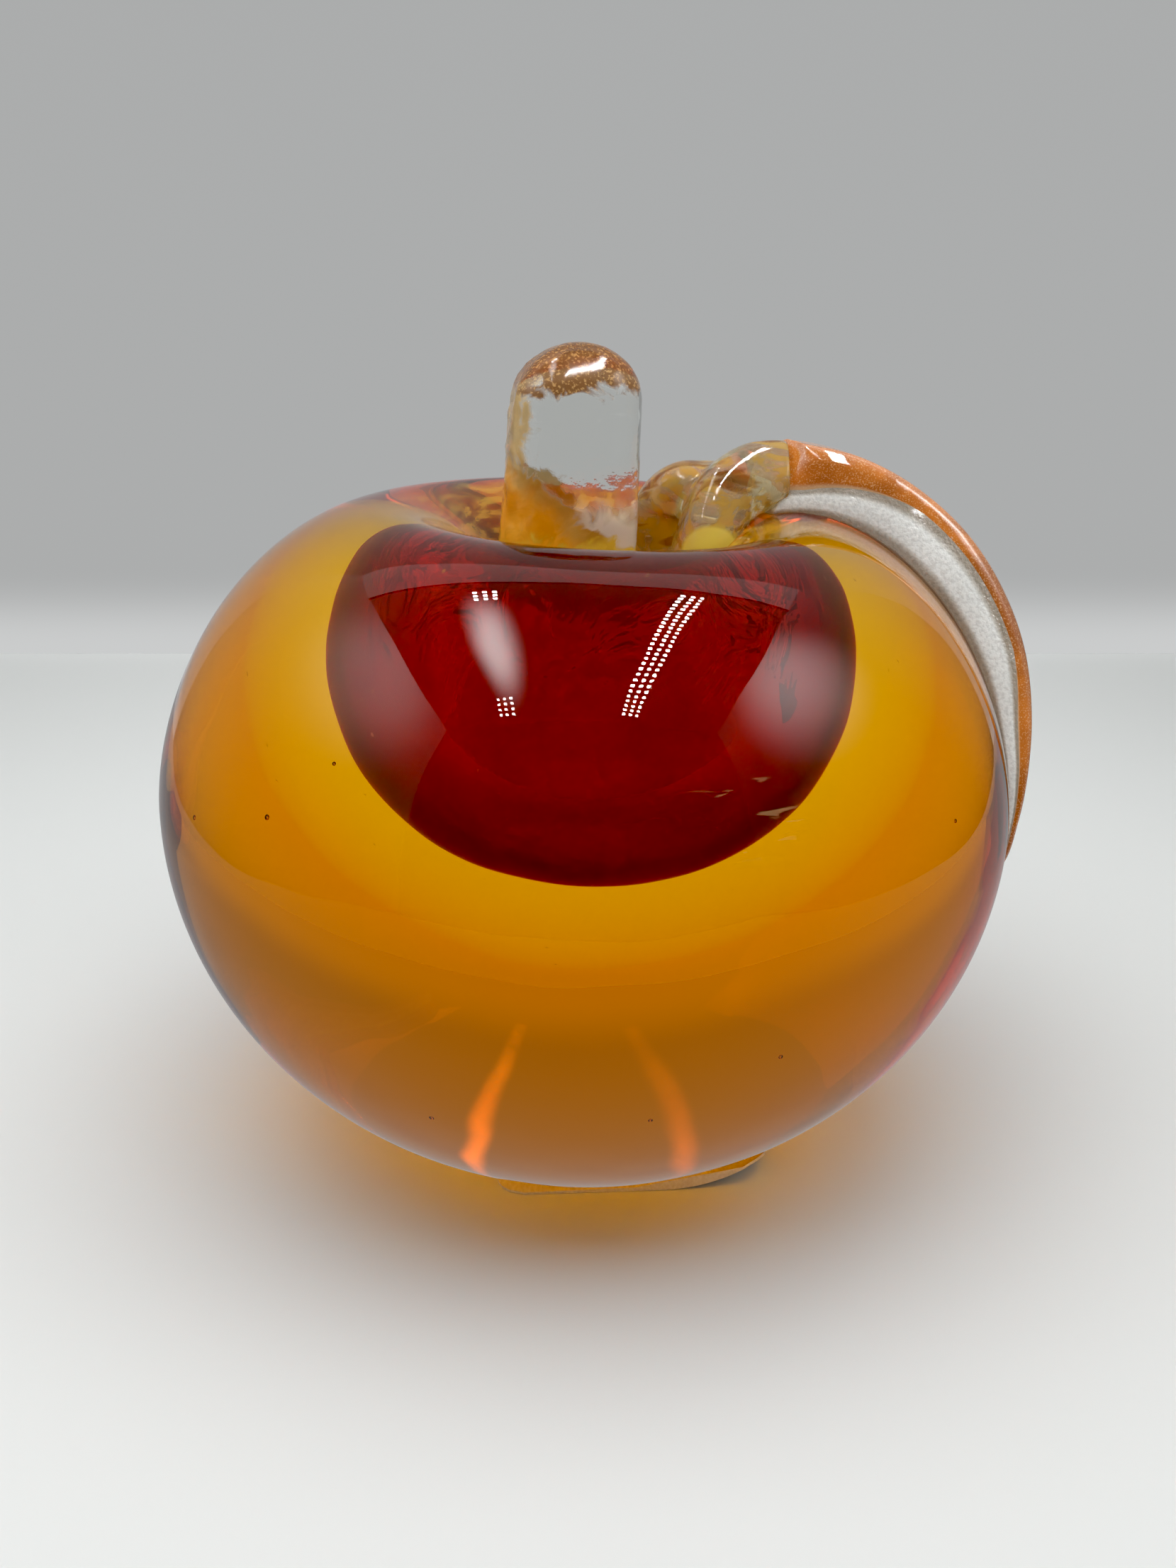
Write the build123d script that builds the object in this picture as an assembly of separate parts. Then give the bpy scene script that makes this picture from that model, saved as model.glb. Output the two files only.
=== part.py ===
from build123d import *
import math
import os

# Art glass apple. A hollow bubble lined with dense red glass is gathered over with clear
# glass and cased in amber. A stem and a leaf are worked on hot at the top, and a paper
# label is stuck under the flat base.
# Millimetres, +Z up, -Y towards the viewer. The origin is on the underside of the label,
# below the middle of the apple.

# Apple body, with heights above the flat glass base
body_radius = 63.5
belly_height = 53.0
base_trim = 5.5
rim_radius = 31.1
rim_height = 95.4
dimple_radius = 14.0
dimple_depth = 16.4
shoulder_power_share = 1.8
body_lean_deg = 2.5

# Sealed air bubble, a ring with its crown round the foot of the dimple
bubble_radius = 27.1
bubble_crown_share = 0.18

# Red lining, of one thickness all round the bubble
lining_wall = 1.5
lining_lift = 1.4
lining_crown_share = 0.23
round_power_share = 2.0

# Clear gather, measured outwards from the lining
gather_wall = 8.7
gather_foot = 7.0
gather_crown = 2.4
gather_dip = 4.0
gather_neck = 1.9
gather_lift = 11.0
gather_crown_share = 0.275
gather_power_share = 2.3

# Amber casing, its foot up from the base and the rest down from the skin of the apple
casing_foot = 35.0
casing_crown = 7.9
casing_dip = 4.0
casing_neck = 4.4
neck_rise = 1.5

# Stem, a flattened rod drawn up out of the dimple and nipped off round
stem_width = 21.2
stem_neck_width = 17.6
stem_depth = 14.5
stem_corner = 4.8
stem_rise = 39.8
stem_dome = 8.0
stem_dome_end_deg = 80
stem_base_x = -3.5
stem_top_x = -0.8
stem_twist_deg = 13.0
stem_sink = 2.0

# Leaf, a thick pressed slab draped over the right shoulder
leaf_thickness = 10.0
leaf_edge_round = 2.6
leaf_seat_sink = 1.0
leaf_split_overlap = 3.0

# Petiole, two twisted strands from the dimple to the root of the leaf
petiole_arch = 7.6
petiole_radius = 6.0

# Paper label under the base, its front right corner peeled up
label_width = 41.0
label_depth = 52.0
label_thickness = 0.3
label_corner = 4.0
label_turn_deg = 3.0
peel_bearing_deg = -45.9
peel_gap = 1.4
curl_reach = 12.0
curl_radius = 14.0
curl_turn_deg = 38.0
curl_fold_deg = -45.0

overrun = 5.0
curve_steps = 10
slope_step_deg = 1.0

belly_drop = belly_height + base_trim
dimple_height = rim_height - dimple_depth
stem_top = dimple_height + stem_rise
petiole_rise = dimple_depth + petiole_arch
upright = Axis((0, 0, belly_height), (0, 1, 0))


def side_to_top(centre_r, centre_z, reach, rise, power_share):
    # Quarter of a superellipse from its side to its top, in radius and height
    points = []
    for step in range(curve_steps + 1):
        turn = math.pi / 2 * step / curve_steps
        along = max(math.cos(turn), 0.0) ** (2 / power_share)
        up = math.sin(turn) ** (2 / power_share)
        points.append((centre_r + reach * along, centre_z + rise * up))
    upwards = (0, math.copysign(1, rise))
    inwards = (-math.copysign(1, reach), 0)
    return Spline(*points, tangents=[upwards, inwards])


def settle(shape):
    # Leans the apple on its base and lifts it by the label's thickness
    return Pos(0, 0, label_thickness) * shape.rotate(upright, body_lean_deg)


def turned_solid(outline):
    # Spins a closed half outline of (radius, height) curves about the apple's axis
    half = Plane.XZ * make_face(outline)
    return revolve(half, Axis.Z)


# Outer skin of the apple


def body_outline():
    foot = belly_height - belly_drop
    under = side_to_top(0, belly_height, body_radius, -belly_drop, round_power_share)
    reach = body_radius - rim_radius
    rise = rim_height - belly_height
    over = side_to_top(rim_radius, belly_height, reach, rise, shoulder_power_share)
    wall_reach = dimple_radius - rim_radius
    wall_rise = rim_height - dimple_height
    wall = side_to_top(rim_radius, dimple_height, wall_reach, wall_rise, round_power_share)
    floor = Line((dimple_radius, dimple_height), (0, dimple_height))
    axis = Line((0, dimple_height), (0, foot))
    return [under, over, wall, floor, axis]


def body_solid():
    whole = settle(turned_solid(body_outline()))
    return split(whole, bisect_by=Plane.XY.offset(label_thickness), keep=Keep.TOP)


# Inner skins: a rounded bowl with a crown, dipping under the dimple


def layer_outline(radius, height, foot, crown_r, crown_z, power_share, neck_r, neck_z, dip):
    under = side_to_top(0, height, radius, foot - height, round_power_share)
    over = side_to_top(crown_r, height, radius - crown_r, crown_z - height, power_share)
    wall = side_to_top(crown_r, neck_z, neck_r - crown_r, crown_z - neck_z, round_power_share)
    bowl = side_to_top(0, neck_z, neck_r, dip - neck_z, round_power_share)
    axis = Line((0, dip), (0, foot))
    return [under, over, wall, bowl, axis]


lining_radius = bubble_radius + lining_wall
gather_radius = lining_radius + gather_wall

gather_height = belly_height + gather_lift
gather_neck_r = dimple_radius + casing_neck
gather_neck_z = dimple_height + neck_rise
gather_crown_r = gather_neck_r + (gather_radius - gather_neck_r) * gather_crown_share
gather_crown_z = rim_height - casing_crown
gather_dip_z = dimple_height - casing_dip

lining_height = gather_height + lining_lift
lining_foot_z = casing_foot + gather_foot
lining_neck_r = gather_neck_r + gather_neck
lining_crown_r = lining_neck_r + (lining_radius - lining_neck_r) * lining_crown_share
lining_crown_z = gather_crown_z - gather_crown
lining_dip_z = gather_dip_z - gather_dip

bubble_foot_z = lining_foot_z + lining_wall
bubble_neck_r = lining_neck_r + lining_wall
bubble_crown_r = bubble_neck_r + (bubble_radius - bubble_neck_r) * bubble_crown_share
bubble_crown_z = lining_crown_z - lining_wall
bubble_dip_z = lining_dip_z - lining_wall


def gather_solid():
    return settle(turned_solid(layer_outline(
        gather_radius, gather_height, casing_foot, gather_crown_r, gather_crown_z,
        gather_power_share, gather_neck_r, gather_neck_z, gather_dip_z)))


def lining_solid():
    return settle(turned_solid(layer_outline(
        lining_radius, lining_height, lining_foot_z, lining_crown_r, lining_crown_z,
        round_power_share, lining_neck_r, gather_neck_z, lining_dip_z)))


def bubble_solid():
    return settle(turned_solid(layer_outline(
        bubble_radius, lining_height, bubble_foot_z, bubble_crown_r, bubble_crown_z,
        round_power_share, bubble_neck_r, gather_neck_z, bubble_dip_z)))


# Stem


def stem_section(height, shrink_share):
    foot = dimple_height - stem_sink
    climb_share = (height - foot) / (stem_top - foot)
    x = stem_base_x + (stem_top_x - stem_base_x) * climb_share
    width = stem_width + (stem_neck_width - stem_width) * climb_share
    level = Plane((x, 0, height + label_thickness)).rotated((0, 0, stem_twist_deg * climb_share))
    outline = RectangleRounded(
        width * shrink_share, stem_depth * shrink_share, stem_corner * shrink_share)
    return level * outline


def stem_solid():
    foot = dimple_height - stem_sink
    shoulder = stem_top - stem_dome
    rod = []
    for climb_share in (0.0, 0.5, 1.0):
        rod.append(stem_section(foot + (shoulder - foot) * climb_share, 1))
    dome = []
    for dome_turn_deg in range(0, stem_dome_end_deg + 1, stem_dome_end_deg // 5):
        dome_turn = math.radians(dome_turn_deg)
        dome.append(stem_section(shoulder + stem_dome * math.sin(dome_turn), math.cos(dome_turn)))
    return loft(rod) + loft(dome)


# Leaf. Each station is a turn down from the rim over the shoulder, the turns about the
# apple's axis of its front and rear edges, how far the section leans out along the leaf,
# all in degrees, and its thickness and clear depth as shares.
leaf_station_shares = (
    (106, 14.0, 38.0, 42, 1.14, 0.42),
    (93, 11.0, 40.0, 16, 0.99, 0.37),
    (80, 6.5, 40.0, 4, 0.98, 0.54),
    (68, 3.5, 37.5, 0, 0.98, 0.70),
    (56, 0.0, 34.5, 0, 0.97, 0.79),
    (44, -2.0, 30.5, 0, 0.90, 0.76),
    (33, -4.0, 26.5, 0, 0.77, 0.55),
    (22, -6.0, 22.0, 0, 0.56, 0.31),
    (12, -8.0, 16.5, 0, 0.36, 0.20),
    (3, -9.0, 9.5, 0, 0.23, 0.13),
    (-4, -9.5, 2.5, 0, 0.15, 0.08),
    (-8, -8.0, -4.0, 0, 0.09, 0.05),
)
leaf_rear_share = 0.8


def body_spot(down_deg):
    # Radius and height on the skin: 90 is the rim, 0 the belly, more than 90 the dimple
    turn = math.radians(abs(down_deg))
    if down_deg > 90:
        swing = turn - math.pi / 2
        radius = rim_radius - (rim_radius - dimple_radius) * math.sin(swing)
        return radius, dimple_height + (rim_height - dimple_height) * math.cos(swing)
    if down_deg < 0:
        return body_radius * math.cos(turn), belly_height - belly_drop * math.sin(turn)
    power = 2 / shoulder_power_share
    radius = rim_radius + (body_radius - rim_radius) * math.cos(turn) ** power
    return radius, belly_height + (rim_height - belly_height) * math.sin(turn) ** power


def leaf_plane(down_deg, round_deg, lean_deg):
    # Plane across the leaf, its x along the skin towards the rear and its y outwards
    near_r, near_z = body_spot(down_deg + slope_step_deg)
    far_r, far_z = body_spot(down_deg - slope_step_deg)
    radius, height = body_spot(down_deg)
    turn = math.radians(round_deg)
    outward_x, outward_y = math.cos(turn), math.sin(turn)
    along = Vector((far_r - near_r) * outward_x, (far_r - near_r) * outward_y, far_z - near_z)
    across = Vector(-outward_y, outward_x, 0)
    spot = Vector(radius * outward_x, radius * outward_y, height)
    level = Plane(spot, x_dir=across, z_dir=along.normalized())
    return level.rotated((lean_deg, 0, 0)), radius


def leaf_half_width(radius, front_deg, rear_deg):
    return radius * math.radians(rear_deg - front_deg) / 2


def skin_drop(plane, radius, offset):
    # How far the round body falls away from the plane's middle at this offset
    flatness = math.hypot(plane.y_dir.X, plane.y_dir.Y)
    return offset * offset * flatness / radius / 2


def leaf_section(down_deg, front_deg, rear_deg, lean_deg, thick_share):
    plane, radius = leaf_plane(down_deg, (front_deg + rear_deg) / 2, lean_deg)
    half = leaf_half_width(radius, front_deg, rear_deg)
    thick = leaf_thickness * thick_share
    rear_thick = thick * leaf_rear_share
    edge = min(leaf_edge_round * thick_share, half / 2)
    edge_drop = skin_drop(plane, radius, half)
    inset_drop = skin_drop(plane, radius, half - edge)
    low_front = (-half, -edge_drop - leaf_seat_sink)
    low_middle = (0, -leaf_seat_sink)
    low_rear = (half, -edge_drop - leaf_seat_sink)
    rear_wall = (half, rear_thick - edge_drop - edge)
    rear_top = (half - edge, rear_thick - inset_drop)
    crest = (0, thick)
    front_top = (edge - half, thick - inset_drop)
    front_wall = (-half, thick - edge_drop - edge)
    outline = [
        ThreePointArc(low_front, low_middle, low_rear),
        Line(low_rear, rear_wall),
        Spline(rear_wall, rear_top, tangents=[(0, 1), (-1, 0)]),
        ThreePointArc(rear_top, crest, front_top),
        Spline(front_top, front_wall, tangents=[(-1, 0), (0, -1)]),
        Line(front_wall, low_front),
    ]
    return plane * make_face(outline)


def clear_section(down_deg, front_deg, rear_deg, lean_deg, clear_share, ahead):
    # Cutter for the clear depth of the leaf, wider and at its ends longer than the leaf
    plane, radius = leaf_plane(down_deg, (front_deg + rear_deg) / 2, lean_deg)
    half = leaf_half_width(radius, front_deg, rear_deg) + leaf_split_overlap
    clear = leaf_thickness * clear_share
    edge_drop = skin_drop(plane, radius, half)
    low = -edge_drop - leaf_split_overlap
    outline = [
        ThreePointArc((-half, low), (0, -leaf_split_overlap), (half, low)),
        Line((half, low), (half, clear * leaf_rear_share - edge_drop)),
        ThreePointArc(
            (half, clear * leaf_rear_share - edge_drop), (0, clear), (-half, clear - edge_drop)),
        Line((-half, clear - edge_drop), (-half, low)),
    ]
    return plane * Pos(0, 0, ahead) * make_face(outline)


def leaf_solid():
    sections = []
    for down, front, rear, lean, thick_share, _ in leaf_station_shares:
        sections.append(leaf_section(down, front, rear, lean, thick_share))
    return settle(loft(sections))


def leaf_clear_depth():
    sections = []
    for down, front, rear, lean, _, clear_share in leaf_station_shares:
        ahead = 0
        if down == leaf_station_shares[0][0]:
            ahead = -leaf_seat_sink
        if down == leaf_station_shares[-1][0]:
            ahead = leaf_seat_sink
        sections.append(clear_section(down, front, rear, lean, clear_share, ahead))
    return settle(loft(sections))


# Petiole. Each spot is x and y as shares of the rim's radius, the rise from the dimple's
# floor as a share, the tilt of the strand's run in degrees, and its two radii as shares.
front_strand_shares = (
    (0.53, 0.13, -0.08, 90, 0.85, 1.00),
    (0.54, 0.14, 0.20, 88, 0.80, 0.95),
    (0.59, 0.17, 0.48, 72, 0.82, 0.95),
    (0.68, 0.26, 0.70, 45, 0.90, 1.00),
    (0.82, 0.35, 0.80, 18, 0.92, 1.05),
    (0.98, 0.39, 0.82, 0, 0.84, 1.00),
)
rear_strand_shares = (
    (0.37, 0.48, -0.08, 90, 0.80, 0.85),
    (0.36, 0.49, 0.30, 95, 0.80, 0.85),
    (0.38, 0.48, 0.56, 72, 0.80, 0.88),
    (0.49, 0.45, 0.70, 25, 0.84, 0.88),
    (0.68, 0.43, 0.71, 2, 0.78, 0.85),
    (0.92, 0.44, 0.76, 8, 0.70, 0.85),
)


def strand(stations):
    sections = []
    for x_share, y_share, rise_share, tilt_deg, deep_share, wide_share in stations:
        height = dimple_height + petiole_rise * rise_share + label_thickness
        spot = (rim_radius * x_share, rim_radius * y_share, height)
        tilt = math.radians(tilt_deg)
        run = (math.cos(tilt), 0, math.sin(tilt))
        level = Plane(spot, x_dir=(-math.sin(tilt), 0, math.cos(tilt)), z_dir=run)
        sections.append(level * Ellipse(petiole_radius * deep_share, petiole_radius * wide_share))
    return loft(sections)


def petiole_solid():
    return strand(front_strand_shares) + strand(rear_strand_shares)


# Label. Its front right corner lies just beyond the edge of the flat foot, where it can lift.


foot_share = (belly_height / belly_drop) ** round_power_share
foot_radius = body_radius * (1 - foot_share) ** (1 / round_power_share)
peel_corner = Rot(0, 0, peel_bearing_deg) * Pos(foot_radius + peel_gap + curl_reach, 0, 0)
label_corner_place = Pos(*peel_corner.position) * Rot(0, 0, label_turn_deg)
label_place = label_corner_place * Pos(-label_width / 2, label_depth / 2, 0)


def label_outline():
    return label_place * RectangleRounded(label_width, label_depth, label_corner)


def label_solid():
    # The peeled corner follows an arc that leaves the sheet flat along the fold
    lift = curl_radius + overrun
    fold = label_corner_place * Rot(0, 0, curl_fold_deg) * Pos(-curl_reach, 0, 0)
    beyond = fold * Pos(label_depth / 2, 0, 0) * Box(label_depth, label_depth, lift)
    sheet = extrude(label_outline(), label_thickness) - beyond
    reach = lift * math.tan(math.radians(curl_turn_deg))
    wedge = make_face(Polyline((0, 0), (0, -lift), (reach, -lift), (0, 0)))
    ring = (Circle(curl_radius) - Circle(curl_radius - label_thickness)) & wedge
    curl = extrude(Plane.XZ * Pos(0, curl_radius) * ring, label_depth / 2, both=True)
    return sheet + ((fold * curl) & extrude(label_outline(), lift))


def main():
    os.makedirs("parts", exist_ok=True)
    body = body_solid()
    gather = gather_solid()
    lining = lining_solid()
    stem = stem_solid() - body
    leaf = leaf_solid() - body
    clear_depth = leaf_clear_depth()
    petiole = petiole_solid() - body - stem - leaf
    parts = {
        "amber_casing": body - gather,
        "clear_gather": gather - lining,
        "red_lining": lining - bubble_solid(),
        "stem": stem,
        "leaf_petiole": petiole,
        "leaf_blade": leaf & clear_depth,
        "leaf_overlay": leaf - clear_depth,
        "base_label": label_solid(),
    }
    for name, shape in parts.items():
        print(name, len(shape.solids()), round(shape.volume, 1), shape.is_valid)
        export_step(shape, f"parts/{name}.step")


main()
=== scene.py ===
import math

import bmesh
import bpy
import numpy as np
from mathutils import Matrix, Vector, noise


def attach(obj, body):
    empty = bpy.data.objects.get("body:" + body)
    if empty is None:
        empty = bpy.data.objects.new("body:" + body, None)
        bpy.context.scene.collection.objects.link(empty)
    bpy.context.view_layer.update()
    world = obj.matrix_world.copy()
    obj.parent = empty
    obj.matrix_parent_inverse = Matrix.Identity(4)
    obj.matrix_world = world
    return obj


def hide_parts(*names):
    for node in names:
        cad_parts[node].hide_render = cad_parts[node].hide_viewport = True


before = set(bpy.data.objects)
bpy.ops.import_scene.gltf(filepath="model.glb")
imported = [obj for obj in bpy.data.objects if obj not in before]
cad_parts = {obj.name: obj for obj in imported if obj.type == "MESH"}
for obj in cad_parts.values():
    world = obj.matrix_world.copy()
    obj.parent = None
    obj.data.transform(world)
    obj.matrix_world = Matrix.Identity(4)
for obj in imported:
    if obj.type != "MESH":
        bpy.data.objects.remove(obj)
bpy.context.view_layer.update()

# Camera, at the photograph's height and tilt
camera_place = (0.00043, -0.2109, 0.131)
camera_tilt_deg = 20.21
camera_lens = 33.25
deepest_black = 0.018
camera_data = bpy.data.cameras.new("camera")
camera = bpy.data.objects.new("camera", camera_data)
bpy.context.scene.collection.objects.link(camera)
bpy.context.scene.camera = camera
camera_data.sensor_width = 36
camera_data.lens = camera_lens
camera_data.clip_start = 0.01
camera.location = camera_place
camera.rotation_euler = (math.radians(90 - camera_tilt_deg), 0, 0)

scene = bpy.context.scene
scene.cycles.max_bounces = 24
scene.cycles.transmission_bounces = 24
scene.cycles.glossy_bounces = 12
scene.cycles.diffuse_bounces = 4
scene.cycles.transparent_max_bounces = 48
scene.cycles.sample_clamp_indirect = 8
scene.cycles.blur_glossy = 0.3
scene.cycles.use_denoising = True
scene.view_settings.view_transform = "Standard"
scene.view_settings.use_curve_mapping = True
scene.view_settings.curve_mapping.black_level = (deepest_black, deepest_black, deepest_black)
scene.view_settings.curve_mapping.update()


# Stage: a small light tent. A pale table runs under a pale back wall, between two sides
# with a bright pool each. The dim ceiling has a dark seam, two strips of lamps and a soft
# fan of light, and a dim cloth hangs behind the camera.
def add_node(material, kind, **values):
    node = material.node_tree.nodes.new(kind)
    for key, value in values.items():
        if key in node.inputs:
            node.inputs[key].default_value = value
        else:
            setattr(node, key.lower(), value)
    return node


def join(material, source, target):
    material.node_tree.links.new(source, target)


def empty_material(name):
    material = bpy.data.materials.new(name)
    material.use_nodes = True
    material.node_tree.nodes.clear()
    output = add_node(material, "ShaderNodeOutputMaterial")
    return material, output


def mesh_object(name, points, faces):
    mesh = bpy.data.meshes.new(name)
    mesh.from_pydata([tuple(p) for p in points], [], [tuple(f) for f in faces])
    mesh.update()
    made = bpy.data.objects.new(name, mesh)
    bpy.context.scene.collection.objects.link(made)
    return made


def math_value(material, operation, first, second):
    node = add_node(material, "ShaderNodeMath")
    node.operation = operation
    for slot_number, value in enumerate((first, second)):
        if isinstance(value, (int, float)):
            node.inputs[slot_number].default_value = value
        else:
            join(material, value, node.inputs[slot_number])
    return node.outputs[0]


def distance_value(material, place, centre, reach):
    # How far a place lies from a centre, in shares of a reach along each axis
    value = place
    for operation, other in (("SUBTRACT", centre), ("DIVIDE", reach), ("LENGTH", None)):
        node = add_node(material, "ShaderNodeVectorMath")
        node.operation = operation
        join(material, value, node.inputs[0])
        if other is not None:
            node.inputs[1].default_value = other
        value = node.outputs["Value" if operation == "LENGTH" else "Vector"]
    return value


tent_half, tent_back, tent_front, tent_top = 0.30, 0.276, -0.34, 0.46
light_colour = (0.985, 1.0, 1.0, 1)


def lit_material(
        name, low, high, pool=None, pool_reach=None, pool_strength=0.0, onto_table=0.0):
    # Glows on its front only, from one strength at the floor to another at the top, with
    # a soft brighter pool of light round one place. It can light the table more strongly
    # than it shows in the glass, as a large lamp behind a cloth does
    material, output = empty_material(name)
    spot = add_node(material, "ShaderNodeNewGeometry")
    axes = add_node(material, "ShaderNodeSeparateXYZ")
    ramp = add_node(material, "ShaderNodeMapRange", **{
        "From Max": tent_top, "To Min": low, "To Max": high})
    glow = add_node(material, "ShaderNodeEmission", Color=light_colour)
    clear = add_node(material, "ShaderNodeBsdfTransparent")
    mix = add_node(material, "ShaderNodeMixShader")
    join(material, spot.outputs["Position"], axes.inputs[0])
    join(material, axes.outputs["Z"], ramp.inputs["Value"])
    strength = ramp.outputs["Result"]
    if pool is not None:
        fall = add_node(material, "ShaderNodeMapRange", **{"To Min": pool_strength, "To Max": 0.0})
        fall.interpolation_type = "SMOOTHERSTEP"
        away = distance_value(material, spot.outputs["Position"], pool, pool_reach)
        join(material, away, fall.inputs["Value"])
        strength = math_value(material, "ADD", strength, fall.outputs["Result"])
    if onto_table > 0:
        path = add_node(material, "ShaderNodeLightPath")
        extra = add_node(material, "ShaderNodeMapRange", **{"To Max": onto_table})
        join(material, path.outputs["Diffuse Depth"], extra.inputs["Value"])
        strength = math_value(material, "ADD", strength, extra.outputs["Result"])
    join(material, strength, glow.inputs["Strength"])
    join(material, spot.outputs["Backfacing"], mix.inputs["Fac"])
    join(material, glow.outputs[0], mix.inputs[1])
    join(material, clear.outputs[0], mix.inputs[2])
    join(material, mix.outputs[0], output.inputs["Surface"])
    material.cycles.emission_sampling = "FRONT" if onto_table == 0 else "NONE"
    return material


table_half, table_level, table_colour = 1.6, -0.0001, (0.78, 0.79, 0.78, 1)
table_material, table_output = empty_material("table")
table_shade = add_node(table_material, "ShaderNodeBsdfDiffuse", Color=table_colour)
join(table_material, table_shade.outputs[0], table_output.inputs["Surface"])
table = mesh_object(
    "stage_table",
    [(-table_half, -table_half, table_level), (table_half, -table_half, table_level),
     (table_half, table_half, table_level), (-table_half, table_half, table_level)],
    [(0, 1, 2, 3)])
table.data.materials.append(table_material)
table.visible_glossy = False


def upright_quad(start_x, start_y, end_x, end_y):
    return [(start_x, start_y, 0), (end_x, end_y, 0),
            (end_x, end_y, tent_top), (start_x, start_y, tent_top)]


def hung_quad(x_low, x_high, y_low, y_high, level):
    # Corners of a level sheet that faces down
    return [(x_low, y_high, level), (x_high, y_high, level),
            (x_high, y_low, level), (x_low, y_low, level)]


# Each wall or sheet with its corners and its light: the strengths at the floor and at the
# top, then the place, reach and strength of its pool, and what it adds on the table
left, right, back, front, seam = -tent_half, tent_half, tent_back, tent_front, 0.14
seam_width = 0.007
seam_level, fan_level, glow_level = tent_top - 0.002, tent_top - 0.006, tent_top - 0.01
left_pool, right_pool = (left, -0.09, 0.39), (right, -0.09, 0.37)
fan_pool = (-0.122, -0.10, tent_top)
walls = (
    ("back", upright_quad(left, back, right, back),
     (0.43, 0.42, (0, back, 0), (9, 1, 0.032), 0.18)),
    ("left", upright_quad(left, front, left, back),
     (0.20, 0.60, left_pool, (1, 0.26, 0.24), 1.7)),
    ("right", upright_quad(right, back, right, front),
     (0.10, 0.50, right_pool, (1, 0.20, 0.22), 3.6)),
    ("front", upright_quad(right, front, left, front), (0.10, 0.18)),
    ("ceiling_rear", hung_quad(left, right, seam, back, tent_top), (0.85, 0.85)),
    ("seam", hung_quad(left, right, seam, seam + seam_width, seam_level), (0.0, 0.0)),
    ("ceiling", hung_quad(left, right, front, seam, tent_top), (0.30, 0.30)),
    ("fan", hung_quad(-0.19, -0.06, -0.31, 0.10, fan_level),
     (0.30, 0.30, fan_pool, (0.050, 0.22, 1), 9.0)),
    ("glow", hung_quad(-0.29, 0.23, -0.30, 0.12, glow_level),
     (0.30, 0.30, None, None, 0.0, 2.65)),
)
for name, corners, light in walls:
    wall = mesh_object("stage_" + name, corners, [(0, 1, 2, 3)])
    wall.data.materials.append(lit_material("stage_" + name, *light))
    wall.visible_transmission = name != "fan"
    wall.visible_diffuse = name != "fan"
    wall.visible_glossy = name != "glow"


lamp_first, lamp_pitch, lamp_column = 0.105, 0.015, 0.0125
lamp_half_x, lamp_half_y, lamp_level = 0.0024, 0.0030, tent_top - 0.014
haze_half, haze_front, haze_back, haze_level = 0.03, -0.32, 0.12, tent_top - 0.012
haze_middle, haze_reach, haze_edge = -0.10, (0.024, 0.20, 1), 0.3


def lamp_strip(name, x, slant, rows, strength):
    # Rows of small lamps, three to a row, on a strip under the ceiling. They show in
    # reflections only
    points, faces = [], []
    for row in rows:
        y = lamp_first - lamp_pitch * row
        for column in (-1, 0, 1):
            lamp_x = x + slant * (y - lamp_first) + lamp_column * column
            corner = len(points)
            points.extend(hung_quad(
                lamp_x - lamp_half_x, lamp_x + lamp_half_x,
                y - lamp_half_y, y + lamp_half_y, lamp_level))
            faces.append((corner, corner + 1, corner + 2, corner + 3))
    lamp = mesh_object(name, points, faces)
    lamp.data.materials.append(lit_material(name, strength, strength))
    lamp.visible_diffuse = lamp.visible_transmission = False
    return lamp


def lamp_haze(name, x, strength):
    # The soft light of a strip as it shows through the glass, without its separate lamps
    haze = mesh_object(
        name, hung_quad(x - haze_half, x + haze_half, haze_front, haze_back, haze_level),
        [(0, 1, 2, 3)])
    haze.data.materials.append(lit_material(
        name, haze_edge, haze_edge, (x, haze_middle, haze_level), haze_reach, strength))
    haze.visible_diffuse = haze.visible_glossy = False
    return haze


lamp_strip("stage_lamp_left", -0.108, 0.065, range(1, 4), 220)
lamp_strip("stage_lamp_left_end", -0.108, 0.065, range(24, 28), 70)
lamp_strip("stage_lamp_right", 0.128, 0.10, range(28), 260)
lamp_haze("stage_haze_left", -0.112, 2.6)
lamp_haze("stage_haze_right", 0.122, 7.0)

world_colour = (0.40, 0.40, 0.40, 1)
world = bpy.data.worlds.new("world")
scene.world = world
world.use_nodes = True
world.node_tree.nodes["Background"].inputs["Color"].default_value = world_colour


# Amber casing: the thick outer glass, gathered over the clear layer, blocked round and
# pressed in at the top, with the base ground flat. It is a shell with the gather inside.
# From here on sizes are in millimetres, and lengths inside materials in metres.
MM = 0.001
body_radius, belly_height, belly_drop = 63.5, 53.0, 58.5
rim_radius, shoulder_reach, shoulder_rise, shoulder_power = 31.1, 32.4, 42.4, 1.8
dimple_height, dimple_wall_reach, dimple_depth = 79.0, 17.1, 16.4
fillet_radius, fillet_place, fillet_top = 3, (11.2, 82.0), 82.2
floor_radius = 10
round_power = 2.0
label_thickness = 0.3
lean = math.radians(2.5)
skin_gap = 0.04
outer_turns, inner_turns = 256, 192
base_bevel = 0.6


def quarter(centre_r, centre_z, reach, rise, power, steps):
    # Quarter of a superellipse in radius and height, from its side to its top
    turn = np.linspace(0, math.pi / 2, steps + 1)
    along = np.clip(np.cos(turn), 0, 1) ** (2 / power)
    up = np.sin(turn) ** (2 / power)
    return np.stack([centre_r + reach * along, centre_z + rise * up], axis=1)


def settled(points):
    # Leans points on the base about the belly and lifts them by the label
    x, y, z = points[:, 0], points[:, 1], points[:, 2] - belly_height
    return np.stack([
        x * math.cos(lean) + z * math.sin(lean), y,
        belly_height + label_thickness - x * math.sin(lean) + z * math.cos(lean)], axis=1)


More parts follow.
